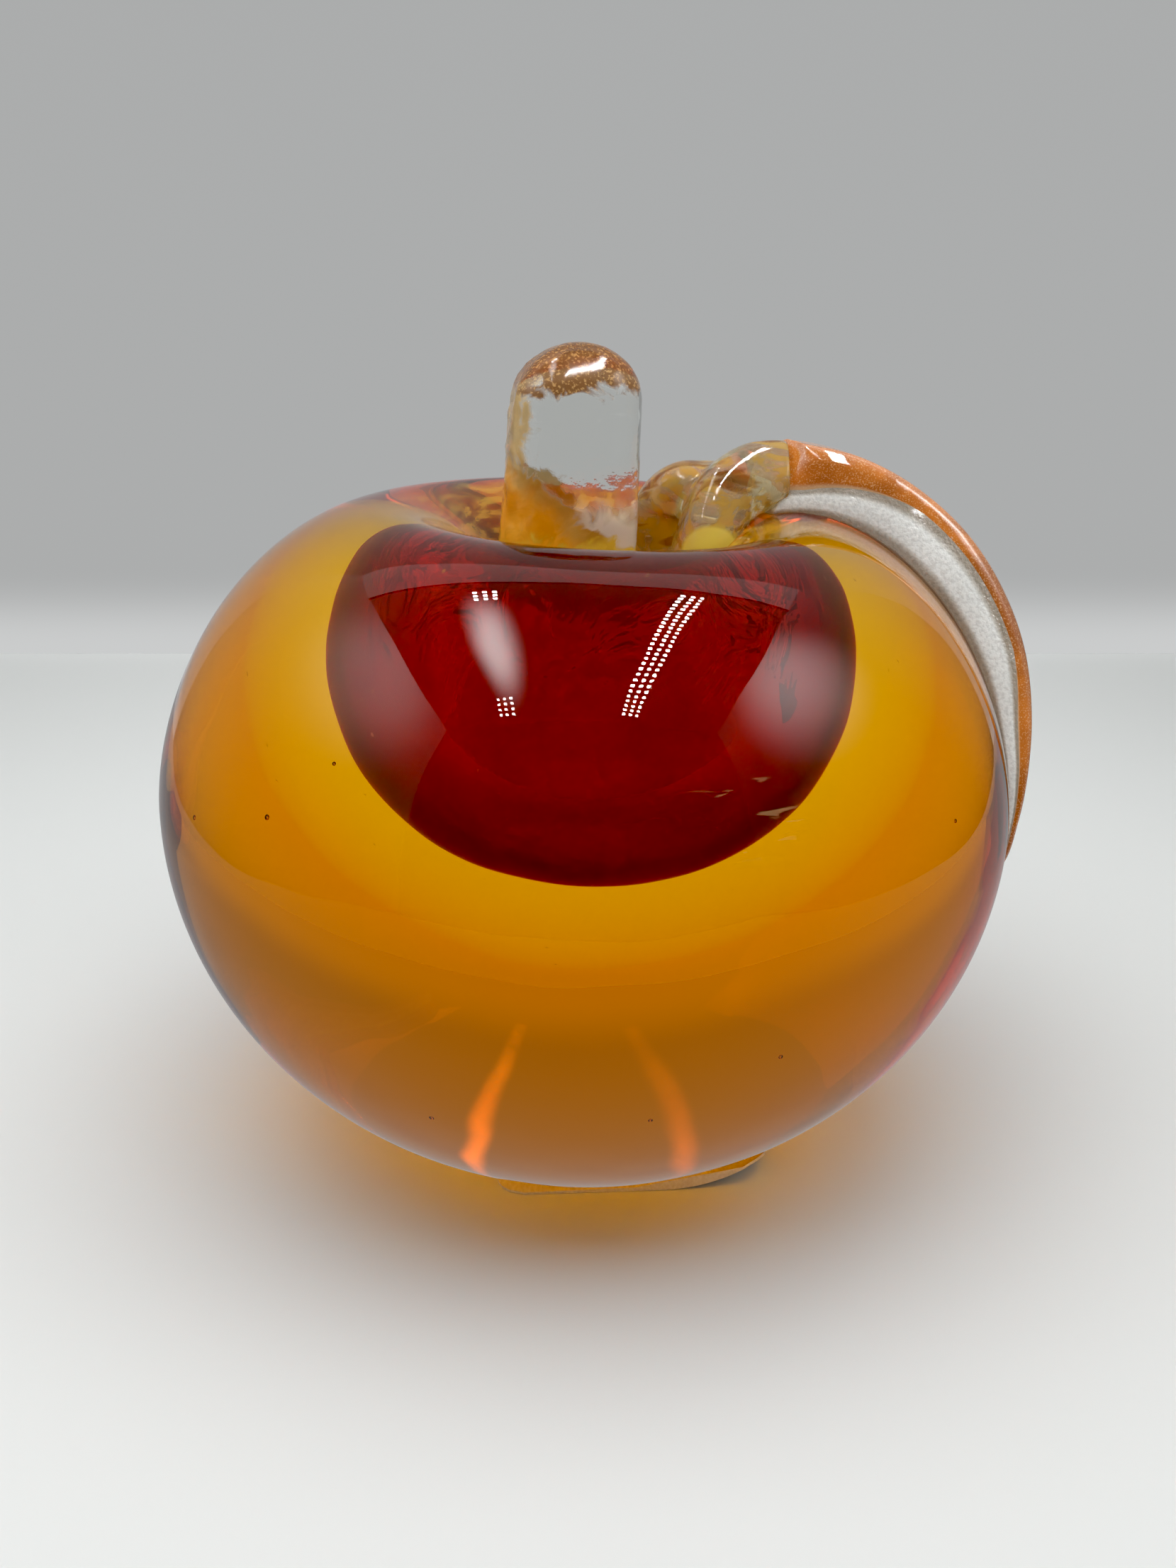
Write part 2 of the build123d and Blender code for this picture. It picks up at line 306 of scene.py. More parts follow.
def turned(outline, around, inside_out=False):
    # Spins an outline that starts and ends on the axis into closed rings of faces
    points = [(0.0, 0.0, outline[0][1])]
    rings = []
    turns = np.linspace(0, 2 * math.pi, around, endpoint=False)
    for radius, height in outline[1:-1]:
        rings.append(len(points))
        points.extend((radius * math.cos(a), radius * math.sin(a), height) for a in turns)
    points.append((0.0, 0.0, outline[-1][1]))
    last = len(points) - 1
    faces = []
    for k in range(around):
        after = (k + 1) % around
        faces.append((0, rings[0] + after, rings[0] + k))
        for low, high in zip(rings, rings[1:]):
            faces.append((low + k, low + after, high + after, high + k))
        faces.append((rings[-1] + k, rings[-1] + after, last))
    if inside_out:
        faces = [face[::-1] for face in faces]
    return np.array(points), faces


def layer_outline(radius, height, foot, crown_r, crown_z, power, neck_r, neck_z, dip, grow):
    # Skin of an inner layer, grown outwards by a little so that skins never coincide
    under = quarter(0, height, radius + grow, foot - height - grow, round_power, 48)
    over = quarter(crown_r, height, radius - crown_r + grow, crown_z - height + grow, power, 48)
    wall = quarter(
        crown_r, neck_z, neck_r - crown_r - grow, crown_z - neck_z + grow, round_power, 24)
    bowl = quarter(0, neck_z, neck_r - grow, dip - neck_z + grow, round_power, 32)
    return np.concatenate([under[::-1], over[1:], wall[::-1][1:], bowl[1:]])


# Skins of the inner layers: radius, its height, foot, radius and height of the crown,
# power, radius and height of the neck, and bottom of the dip
gather_skin = (37.3, 64.0, 35.0, 23.6, 87.5, 2.3, 18.4, 80.5, 75.0)
lining_skin = (28.6, 65.4, 42.0, 22.2, 85.1, 2.0, 20.3, 80.5, 71.0)
bubble_skin = (27.1, 65.4, 43.5, 22.75, 83.6, 2.0, 21.8, 80.5, 69.5)


def body_outline():
    # Outline from the foot over the belly, shoulder and rim down to the dimple's floor
    under = quarter(0, belly_height, body_radius, -belly_drop, round_power, 72)
    over = quarter(rim_radius, belly_height, shoulder_reach, shoulder_rise, shoulder_power, 72)
    wall = quarter(rim_radius, dimple_height, -dimple_wall_reach, dimple_depth, round_power, 40)
    wall = wall[wall[:, 1] > fillet_top][::-1]
    swing = np.linspace(0, math.pi / 2, 9)
    fillet = np.stack([
        fillet_place[0] + fillet_radius * np.cos(swing),
        fillet_place[1] - fillet_radius * np.sin(swing)], axis=1)
    floor = np.stack([np.linspace(floor_radius, 0, 9), np.full(9, dimple_height)], axis=1)
    return np.concatenate([under[::-1], over[1:], wall[1:], fillet, floor])


def smooth(made, angle=40):
    for face in made.data.polygons:
        face.use_smooth = True
    made.data.set_sharp_from_angle(angle=math.radians(angle))


def join_shells(name, shells):
    # One mesh of several shells, with a value on each point that tells which it lies on
    points, faces, marks, offset = [], [], [], 0
    for shell_points, shell_faces, mark in shells:
        points.append(np.asarray(shell_points) * MM)
        faces.extend(tuple(i + offset for i in face) for face in shell_faces)
        marks.extend([mark] * len(shell_points))
        offset += len(shell_points)
    made = mesh_object(name, np.concatenate(points), faces)
    values = made.data.attributes.new("fused", "FLOAT", "POINT")
    values.data.foreach_set("value", marks)
    return made


def noise_value(material, place, scale, detail=3.0, distortion=0.0, stretch=None):
    # A noise texture over the piece, in cycles per metre
    if stretch is not None:
        mapping = add_node(material, "ShaderNodeMapping")
        mapping.inputs["Scale"].default_value = stretch
        join(material, place, mapping.inputs["Vector"])
        place = mapping.outputs["Vector"]
    texture = add_node(
        material, "ShaderNodeTexNoise", Scale=scale, Detail=detail, Distortion=distortion)
    join(material, place, texture.inputs["Vector"])
    return texture.outputs["Fac"]


def step_value(material, value, low, high, low_out=0.0, high_out=1.0):
    # Smooth step of a value between two limits
    ramp = add_node(material, "ShaderNodeMapRange", **{
        "From Min": low, "From Max": high, "To Min": low_out, "To Max": high_out})
    ramp.interpolation_type = "SMOOTHSTEP"
    join(material, value, ramp.inputs["Value"])
    return ramp.outputs["Result"]


def mixed_colour(material, factor, first, second):
    node = add_node(material, "ShaderNodeMix")
    node.data_type = "RGBA"
    join(material, factor, node.inputs["Factor"])
    for slot_number, value in ((6, first), (7, second)):
        if isinstance(value, tuple):
            node.inputs[slot_number].default_value = (*value, 1)
        else:
            join(material, value, node.inputs[slot_number])
    return node.outputs[2]


def bump_value(material, height, distance, skin):
    bump = add_node(material, "ShaderNodeBump", Distance=distance, Strength=1.0)
    join(material, height, bump.inputs["Height"])
    join(material, bump.outputs[0], skin.inputs["Normal"])


def axis_values(material, place):
    axes = add_node(material, "ShaderNodeSeparateXYZ")
    join(material, place, axes.inputs[0])
    return axes.outputs


def cloud_over(material, share, colour, roughness):
    # Lays a cloudy skin over the glass, as strongly as a share over the piece says
    output = material.node_tree.get_output_node("ALL")
    cloud = add_node(material, "ShaderNodeBsdfPrincipled", IOR=1.5, Roughness=roughness)
    mix = add_node(material, "ShaderNodeMixShader")
    join(material, share, mix.inputs["Fac"])
    if isinstance(colour, tuple):
        cloud.inputs["Base Color"].default_value = (*colour, 1)
    else:
        join(material, colour, cloud.inputs["Base Color"])
    join(material, output.inputs["Surface"].links[0].from_socket, mix.inputs[1])
    join(material, cloud.outputs[0], mix.inputs[2])
    join(material, mix.outputs[0], output.inputs["Surface"])
    return cloud


def glass_material(name, tint, absorb_colour, density):
    # Polished glass whose colour comes from its depth and a little from its skin. Faces
    # marked as fused don't bend light
    material, output = empty_material(name)
    skin = add_node(material, "ShaderNodeBsdfPrincipled", IOR=1.5, Roughness=0.0)
    skin.inputs["Base Color"].default_value = (*tint, 1)
    skin.inputs["Transmission Weight"].default_value = 1
    clear = add_node(material, "ShaderNodeBsdfTransparent")
    mix = add_node(material, "ShaderNodeMixShader")
    mark = add_node(material, "ShaderNodeAttribute")
    mark.attribute_name = "fused"
    join(material, mark.outputs["Fac"], mix.inputs["Fac"])
    join(material, skin.outputs[0], mix.inputs[1])
    join(material, clear.outputs[0], mix.inputs[2])
    join(material, mix.outputs[0], output.inputs["Surface"])
    depth = add_node(material, "ShaderNodeVolumeAbsorption", Density=density)
    depth.inputs["Color"].default_value = (*absorb_colour, 1)
    join(material, depth.outputs[0], output.inputs["Volume"])
    place = add_node(material, "ShaderNodeTexCoord").outputs["Object"]
    return material, skin, place, mark.outputs["Fac"]


def finish_piece(made, nodes, material):
    made.data.materials.append(material)
    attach(made, "root")
    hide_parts(*nodes)


def ground_flat(made, height, bevel):
    # Cuts a closed mesh flat at a height, caps it and eases the edge
    work = bmesh.new()
    work.from_mesh(made.data)
    cut = bmesh.ops.bisect_plane(
        work, geom=work.verts[:] + work.edges[:] + work.faces[:], dist=1e-7,
        plane_co=(0, 0, height), plane_no=(0, 0, -1), clear_outer=True)
    rim = [item for item in cut["geom_cut"] if isinstance(item, bmesh.types.BMEdge)]
    bmesh.ops.holes_fill(work, edges=rim, sides=0)
    rim = [edge for edge in work.edges if all(abs(v.co.z - height) < 1e-7 for v in edge.verts)]
    bmesh.ops.bevel(work, geom=rim, offset=bevel, segments=4, profile=0.5, affect="EDGES")
    work.to_mesh(made.data)
    work.free()


outer_points, outer_faces = turned(body_outline(), outer_turns)
inner_points, inner_faces = turned(
    layer_outline(*gather_skin, grow=skin_gap), inner_turns, inside_out=True)
casing_shells = [
    (settled(outer_points), outer_faces, 0.0),
    (settled(inner_points), inner_faces, 1.0),
]
# Seeds, the tiny bubbles in the amber: place and radius
seed_rows, seed_turns = 11, 16
seeds = (
    (-38, -41, 62, 0.35), (-30, -46, 71, 0.25), (-47, -24, 55, 0.3), (24, -50, 38, 0.3),
    (44, -28, 60, 0.25), (9, -54, 30, 0.3), (-18, -52, 27, 0.35), (-50, 14, 60, 0.4),
    (20, 48, 66, 0.35), (49, 22, 48, 0.3))
for x, y, z, radius in seeds:
    swing = np.linspace(0, math.pi, seed_rows)
    seed_outline = np.stack([radius * np.sin(swing), z - radius * np.cos(swing)], axis=1)
    seed_points, seed_faces = turned(seed_outline, seed_turns, inside_out=True)
    casing_shells.append((settled(seed_points + np.array([x, y, 0])), seed_faces, 0.0))
casing = join_shells("amber_casing", casing_shells)
ground_flat(casing, label_thickness * MM, base_bevel * MM)
smooth(casing)

amber_tint, amber_depth_colour, amber_density = (0.98, 0.88, 0.12), (0.992, 0.9435, 0.30), 200
amber_gloss, wave_scale, wave_height = 0.12, 32, 0.0004
dimple_axis, dimple_reach = (0.0013, 0, 0), (0.031, 0.031, 9)
dimple_dark, dimple_light = (0.34, 0.12, 0.015), (0.52, 0.27, 0.03)
dimple_edge, dimple_bottom = (1.0, 0.82), (0.0770, 0.0785)
scratch_place, scratch_reach = (0.0182, -0.0572, 0.0702), (0.010, 0.010, 0.006)
scratch_colour = (0.80, 0.45, 0.20)
amber, amber_skin, place, fused = glass_material(
    "amber_glass", amber_tint, amber_depth_colour, amber_density)
amber_skin.inputs["Specular IOR Level"].default_value = amber_gloss
bump_value(amber, noise_value(amber, place, wave_scale, 2), wave_height, amber_skin)
open_skin = math_value(amber, "SUBTRACT", 1.0, fused)
near_axis = step_value(
    amber, distance_value(amber, place, dimple_axis, dimple_reach), *dimple_edge)
above_floor = step_value(amber, axis_values(amber, place)[2], *dimple_bottom)
streaks = noise_value(amber, place, 70, 3, 2.0, (1, 1, 2.5))
dimple_share = math_value(amber, "MULTIPLY", near_axis, above_floor)
dimple_share = math_value(
    amber, "MULTIPLY", dimple_share, step_value(amber, streaks, 0.35, 0.7, 0.35, 0.72))
dimple_share = math_value(amber, "MULTIPLY", dimple_share, open_skin)
dimple_colour = mixed_colour(
    amber, step_value(amber, streaks, 0.44, 0.60), dimple_dark, dimple_light)
cloud_over(amber, dimple_share, dimple_colour, 0.1)
scratch_spot = distance_value(amber, place, scratch_place, scratch_reach)
scratches = step_value(
    amber, noise_value(amber, place, 380, 2, 0.6, (0.35, 0.35, 2.6)), 0.60, 0.66)
scratch_share = math_value(
    amber, "MULTIPLY", scratches, step_value(amber, scratch_spot, 1.0, 0.5, 0.0, 0.30))
scratch_share = math_value(amber, "MULTIPLY", scratch_share, open_skin)
cloud_over(amber, scratch_share, scratch_colour, 0.4)
finish_piece(casing, ["amber_casing"], amber)


# Clear gather: colourless glass between the amber and the red, fused to both. It shows
# only as the paler zone round the red, where the amber in front of it is thin.
outer_points, outer_faces = turned(layer_outline(*gather_skin, grow=0), inner_turns)
inner_points, inner_faces = turned(
    layer_outline(*lining_skin, grow=skin_gap), inner_turns, inside_out=True)
gather = join_shells("clear_gather", [
    (settled(outer_points), outer_faces, 1.0),
    (settled(inner_points), inner_faces, 1.0),
])
smooth(gather)
clear_tint, clear_depth_colour, clear_density = (1.0, 1.0, 1.0), (0.98, 0.95, 0.85), 1
speck_colour = (0.80, 0.40, 0.16)
clear_glass, _, place, _ = glass_material(
    "clear_glass", clear_tint, clear_depth_colour, clear_density)
specks = step_value(clear_glass, noise_value(clear_glass, place, 620, 1), 0.79, 0.82, 0.0, 0.35)
cloud_over(clear_glass, specks, speck_colour, 0.5)
finish_piece(gather, ["clear_gather"], clear_glass)


# Red lining: a thin dense skin of red glass on the first gather, blown round the sealed
# bubble. Its inner face is the wall of the bubble.
outer_points, outer_faces = turned(layer_outline(*lining_skin, grow=0), inner_turns)
inner_points, inner_faces = turned(
    layer_outline(*bubble_skin, grow=0), inner_turns, inside_out=True)
lining = join_shells("red_lining", [
    (settled(outer_points), outer_faces, 1.0),
    (settled(inner_points), inner_faces, 0.0),
])
smooth(lining)
red_tint, red_depth_colour, red_density = (0.90, 0.02, 0.02), (0.88, 0.0, 0.0), 1500
murk_colour, ripple_height, ripple_crown = (0.58, 0.010, 0.012), 0.003, (0.066, 0.082)
red_glass, red_skin, place, fused = glass_material(
    "red_glass", red_tint, red_depth_colour, red_density)
ripples = math_value(
    red_glass, "MULTIPLY", noise_value(red_glass, place, 110, 3, 1.5),
    step_value(red_glass, axis_values(red_glass, place)[2], *ripple_crown))
bump_value(red_glass, ripples, ripple_height, red_skin)
murk = noise_value(red_glass, place, 60, 3, 1.0)
red_share = math_value(
    red_glass, "MULTIPLY", fused, step_value(red_glass, murk, 0.3, 0.7, 0.24, 0.42))
cloud_over(red_glass, red_share, murk_colour, 0.3)
finish_piece(lining, ["red_lining"], red_glass)


# Stem: a flattened rod of clear glass drawn up hot out of the dimple and nipped off round.
# The amber of the casing runs up its foot and its left side, and its top is burnt brown.
stem_foot, stem_shoulder, stem_dome, stem_top = 77.0, 110.8, 8.0, 118.8
stem_width, stem_narrowing, stem_depth, stem_corner = 21.2, 3.6, 14.5, 4.8
stem_base_x, stem_drift_x, stem_twist_deg = -3.5, 2.7, 13
stem_corner_power, stem_turns, stem_rows, stem_dome_rows = 0.15, 96, 56, 22
flare_share, flare_reach = 0.09, 1.6
floor_spot = (1.134, 78.975)
lump_size, lump_depth, stem_wave_depth = 3.5, 0.35, 0.00009


def floor_height(x):
    # Height of the leaned floor of the dimple, without the label's lift
    return floor_spot[1] - (x - floor_spot[0]) * math.tan(lean)


def stem_ring(height, scale):
    # Points round the stem's rounded section at a height, shifted and twisted with it
    climb = (height - stem_foot) / (stem_top - stem_foot)
    twist = math.radians(stem_twist_deg * climb)
    flat_x = (stem_width - stem_narrowing * climb) / 2 - stem_corner
    flat_y = stem_depth / 2 - stem_corner
    ring = []
    for k in range(stem_turns):
        turn = 2 * math.pi * k / stem_turns
        out_x, out_y = math.cos(turn), math.sin(turn)
        ease_x, ease_y = abs(out_x) ** stem_corner_power, abs(out_y) ** stem_corner_power
        x = math.copysign(flat_x + stem_corner * abs(out_x), out_x) * ease_x * scale
        y = math.copysign(flat_y + stem_corner * abs(out_y), out_y) * ease_y * scale
        ring.append((
            stem_base_x + stem_drift_x * climb + x * math.cos(twist) - y * math.sin(twist),
            x * math.sin(twist) + y * math.cos(twist), height))
    return ring


def ring_mesh(rings):
    # Closed mesh over a stack of equal rings of points, with a fan over each end
    count = len(rings[0])
    points = [p for ring in rings for p in ring]
    faces = []
    for row in range(len(rings) - 1):
        for k in range(count):
            after = (k + 1) % count
            low, high = row * count, (row + 1) * count
            faces.append((low + k, low + after, high + after, high + k))
    for row, flip in ((0, True), (len(rings) - 1, False)):
        centre = len(points)
        points.append(tuple(np.mean(rings[row], axis=0)))
        for k in range(count):
            face = (row * count + k, row * count + (k + 1) % count, centre)
            faces.append(face[::-1] if flip else face)
    return np.array(points), faces


def roughened(points, faces, size, depth, weight):
    # Pushes points in and out along their normals with soft noise, by a depth in mm
    made = bpy.data.meshes.new("rough")
    made.from_pydata([tuple(p) for p in points], [], faces)
    made.update()
    moved = []
    for vertex in made.vertices:
        lump = noise.fractal(vertex.co / size, 0.8, 2.0, 3)
        moved.append(vertex.co + vertex.normal * lump * depth * weight(vertex.co))
    bpy.data.meshes.remove(made)
    return np.array([tuple(p) for p in moved])


def stem_lumps(spot):
    # The left side is lumpy and the rest only wavy. The foot stays on its seat
    to_left = min(max((-spot.x - 6) / 4, 0), 1)
    off_seat = min(max((spot.z - 80) / 2, 0), 1)
    return (0.25 + 0.75 * to_left) * off_seat


stem_rings = [
    stem_ring(height, 1 + flare_share * math.exp(-(height - dimple_height) / flare_reach))
    for height in np.linspace(dimple_height, stem_shoulder, stem_rows)]
stem_rings += [
    stem_ring(stem_shoulder + stem_dome * math.sin(turn), math.cos(turn))
    for turn in np.linspace(0, math.pi / 2, stem_dome_rows)[1:-1]]
stem_rings[0] = [(x, y, floor_height(x) + 0.06) for x, y, _ in stem_rings[0]]
stem_points, stem_faces = ring_mesh(stem_rings)
stem_points = roughened(stem_points, stem_faces, lump_size, lump_depth, stem_lumps)
stem_points[:, 2] += label_thickness
stem = mesh_object("stem", stem_points * MM, stem_faces)
smooth(stem, 60)


def tinted_glass(name, roughness=0.02):
    # Glass whose tint varies over the skin: its material, its shader and its coordinates
    material, output = empty_material(name)
    skin = add_node(material, "ShaderNodeBsdfPrincipled", IOR=1.5, Roughness=roughness)
    skin.inputs["Transmission Weight"].default_value = 1
    place = add_node(material, "ShaderNodeTexCoord")
    join(material, skin.outputs[0], output.inputs["Surface"])
    return material, skin, place.outputs["Object"]


stem_clear, stem_olive, stem_side = (0.97, 0.98, 0.95), (0.60, 0.37, 0.11), (0.72, 0.47, 0.18)
stem_ember, stem_yellow = (0.98, 0.50, 0.08), (0.95, 0.72, 0.14)
burnt_ground, burnt_fleck = (0.26, 0.11, 0.035), (0.62, 0.33, 0.11)
# Where each tint begins and is full: by slanted height, by height, or by place from the left
foot_slant, side_slant, tint_drift = 0.95, 0.1125, 0.008
foot_line, ember_line, yellow_line = (0.0958, 0.0942), (0.0935, 0.0890), (0.0925, 0.0912)
side_line, dome_line, pale_line = (-0.0190, -0.0210), (0.1125, 0.1140), (0.0990, 0.0945)
stem_glass, stem_skin, place = tinted_glass("stem_glass")
axes = axis_values(stem_glass, place)
wander = noise_value(stem_glass, place, 190, 4, 1.5)
drift = math_value(
    stem_glass, "MULTIPLY", math_value(stem_glass, "SUBTRACT", wander, 0.5), tint_drift)
height_value = math_value(stem_glass, "ADD", axes[2], drift)
side_value = math_value(
    stem_glass, "SUBTRACT", math_value(stem_glass, "ADD", axes[0], drift),
    math_value(stem_glass, "MULTIPLY", axes[2], side_slant))
slant_value = math_value(
    stem_glass, "ADD", height_value, math_value(stem_glass, "MULTIPLY", axes[0], foot_slant))
foot_mask = step_value(stem_glass, slant_value, *foot_line)
ember_mask = step_value(stem_glass, slant_value, *ember_line)
yellow_mask = step_value(stem_glass, height_value, *yellow_line)
side_mask = step_value(stem_glass, side_value, *side_line)
dome_mask = step_value(stem_glass, height_value, *dome_line)
flecks = step_value(stem_glass, noise_value(stem_glass, place, 2400, 2), 0.52, 0.66)
colour = mixed_colour(stem_glass, foot_mask, stem_clear, stem_olive)
colour = mixed_colour(stem_glass, side_mask, colour, stem_side)
colour = mixed_colour(stem_glass, ember_mask, colour, stem_ember)
colour = mixed_colour(stem_glass, yellow_mask, colour, stem_yellow)
burnt = mixed_colour(stem_glass, flecks, burnt_ground, burnt_fleck)
colour = mixed_colour(stem_glass, dome_mask, colour, burnt)
join(stem_glass, colour, stem_skin.inputs["Base Color"])
bump_value(stem_glass, noise_value(stem_glass, place, 500, 3), stem_wave_depth, stem_skin)
stem_share = foot_mask
for mask in (side_mask, yellow_mask, dome_mask):
    stem_share = math_value(stem_glass, "MAXIMUM", stem_share, mask)
stem_share = math_value(
    stem_glass, "MULTIPLY", stem_share, step_value(stem_glass, wander, 0.35, 0.65, 0.48, 0.70))
pale_root = step_value(stem_glass, height_value, *pale_line, 0.0, 0.5)
stem_share = math_value(stem_glass, "MAXIMUM", stem_share, pale_root)
cloud_over(stem_glass, stem_share, colour, 0.15)
finish_piece(stem, ["stem"], stem_glass)


# Leaf petiole: two strands of clear and amber glass, twisted together hot. They rise from the
# dimple, cross the rim and run into the root of the leaf, fused to both.
petiole_foot, petiole_rise, petiole_radius = 79.3, 24.0, 6.0
flute_share, weld_size = 0.05, 0.35
strand_rows, strand_turns = 64, 64
# Stations along each strand: place across and to the rear in rim radii, share of the rise,
# slope in degrees, and depth and width in petiole radii
front_strand = np.array([
    (0.53, 0.13, -0.04, 90, 0.85, 1.00), (0.54, 0.14, 0.20, 88, 0.80, 0.95),
    (0.59, 0.17, 0.48, 72, 0.82, 0.95), (0.68, 0.26, 0.70, 45, 0.90, 1.00),
    (0.82, 0.35, 0.80, 18, 0.92, 1.05), (0.98, 0.39, 0.82, 0, 0.84, 1.00)])
rear_strand = np.array([
    (0.37, 0.48, -0.04, 90, 0.80, 0.85), (0.36, 0.49, 0.30, 95, 0.80, 0.85),
    (0.38, 0.48, 0.56, 72, 0.80, 0.88), (0.49, 0.45, 0.70, 25, 0.84, 0.88),
    (0.68, 0.43, 0.71, 2, 0.78, 0.85), (0.92, 0.44, 0.76, 8, 0.70, 0.85)])


def flowing(stations, steps):
    # Smooth rows between stations, each row a spline of its neighbours
    rows = []
    last = len(stations) - 1
    for spot in np.linspace(0, last, steps):
        k = min(int(spot), last - 1)
        t = spot - k
        before, after = stations[max(k - 1, 0)], stations[min(k + 2, last)]
        start, end = stations[k], stations[k + 1]
        rows.append(0.5 * (
            2 * start + (end - before) * t + (2 * before - 5 * start + 4 * end - after) * t ** 2
            + (3 * start - before - 3 * end + after) * t ** 3))
    return rows


def strand_shell(stations, flutes, twist):
    # One strand along its stations, with shallow flutes that twist by an angle on the way
    rings = []
    for row, (x, y, rise, tilt, deep, wide) in enumerate(flowing(stations, strand_rows)):
        slope = math.radians(tilt)
        centre = np.array([rim_radius * x, rim_radius * y, petiole_foot + petiole_rise * rise])
        level = np.array([-math.sin(slope), 0, math.cos(slope)])
        ring = []
        for turn in np.linspace(0, 2 * math.pi, strand_turns, endpoint=False):
            ripple = 1 + flute_share * math.cos(flutes * turn + twist * row / strand_rows)
            up = level * math.cos(turn) * deep * petiole_radius * ripple
            across = np.array([0, -1, 0]) * math.sin(turn) * wide * petiole_radius * ripple
            ring.append(tuple(centre + up + across))
        rings.append(ring)
    return ring_mesh(rings)


petiole = join_shells("leaf_petiole", [
    (*strand_shell(front_strand, 4, 6.0), 0.0),
    (*strand_shell(rear_strand, 3, -5.0), 0.0),
])


def apply_modifiers(made):
    shown = made.evaluated_get(bpy.context.evaluated_depsgraph_get())
    result = bpy.data.meshes.new_from_object(shown)
    made.modifiers.clear()
    made.data = result


fuse = petiole.modifiers.new("fuse", "REMESH")
fuse.mode, fuse.voxel_size = "VOXEL", weld_size * MM
soften = petiole.modifiers.new("soften", "SMOOTH")
soften.factor, soften.iterations = 0.6, 12
apply_modifiers(petiole)
smooth(petiole, 80)
strand_clear, strand_amber = (0.95, 0.90, 0.66), (0.82, 0.55, 0.15)
strand_dark, drop_colour = (0.55, 0.30, 0.08), (0.95, 0.78, 0.16)
drop_place, drop_reach = (0.0185, -0.001, 0.0895), (0.006, 0.006, 0.005)
petiole_wave_depth = 0.00012
petiole_glass, petiole_skin, place = tinted_glass("petiole_glass")
swirl = noise_value(petiole_glass, place, 120, 3, 2.5, (1.0, 1.6, 1.6))
streak = noise_value(petiole_glass, place, 300, 2, 1.0, (0.3, 1.0, 1.0))
colour = mixed_colour(
    petiole_glass, step_value(petiole_glass, swirl, 0.42, 0.58), strand_clear, strand_amber)
colour = mixed_colour(
    petiole_glass, step_value(petiole_glass, streak, 0.55, 0.66), colour, strand_dark)
yellow_spot = step_value(
    petiole_glass, distance_value(petiole_glass, place, drop_place, drop_reach), 1.0, 0.7)
colour = mixed_colour(petiole_glass, yellow_spot, colour, drop_colour)
join(petiole_glass, colour, petiole_skin.inputs["Base Color"])
bump_value(petiole_glass, streak, petiole_wave_depth, petiole_skin)
petiole_share = math_value(
    petiole_glass, "MAXIMUM", step_value(petiole_glass, swirl, 0.38, 0.62, 0.16, 0.44),
    math_value(petiole_glass, "MULTIPLY", yellow_spot, 0.6))
cloud_over(petiole_glass, petiole_share, colour, 0.12)
finish_piece(petiole, ["leaf_petiole"], petiole_glass)


# Leaf blade: a thick slab of clear glass pressed with tools, whose cut edge keeps a frosty
# pebbled skin. It is laid hot over the shoulder and fused where it lies.
leaf_thickness, leaf_edge, leaf_rear, leaf_sink, leaf_bulge = 10.0, 2.6, 0.8, 0.12, 0.5
leaf_rows, leaf_across, leaf_ribs = 90, 41, 5
least_amber, full_bulge_height = 0.02, 6
# Stations down the leaf: place in degrees from the belly, bearings of its front and rear
# edges, tilt, and the shares of the thickness that the whole leaf and its clear part take
leaf_stations = np.array([
    (106, 14.0, 38.0, 42, 1.14, 0.42), (93, 11.0, 40.0, 16, 0.99, 0.37),
    (80, 6.5, 40.0, 4, 0.98, 0.54), (68, 3.5, 37.5, 0, 0.98, 0.70),
    (56, 0.0, 34.5, 0, 0.97, 0.79), (44, -2.0, 30.5, 0, 0.90, 0.76),
    (33, -4.0, 26.5, 0, 0.77, 0.55), (22, -6.0, 22.0, 0, 0.56, 0.31),
    (12, -8.0, 16.5, 0, 0.36, 0.20), (3, -9.0, 9.5, 0, 0.23, 0.13),
    (-4, -9.5, 2.5, 0, 0.15, 0.08), (-8, -8.0, -4.0, 0, 0.09, 0.05)])


def skin_spot(down):
    # Radius and height on the apple's skin: 90 is the rim, 0 the belly
    turn = math.radians(abs(down))
    if down > 90:
        past = turn - math.pi / 2
        return (
            rim_radius - dimple_wall_reach * math.sin(past),
            dimple_height + dimple_depth * math.cos(past))
    if down < 0:
        return body_radius * math.cos(turn), belly_height - belly_drop * math.sin(turn)
    return (
        rim_radius + shoulder_reach * math.cos(turn) ** (2 / shoulder_power),
        belly_height + shoulder_rise * math.sin(turn) ** (2 / shoulder_power))


def leaf_columns():
    # Places across the leaf as shares of its half width, close together at the edges
    return np.sin(np.linspace(-math.pi / 2, math.pi / 2, leaf_across))


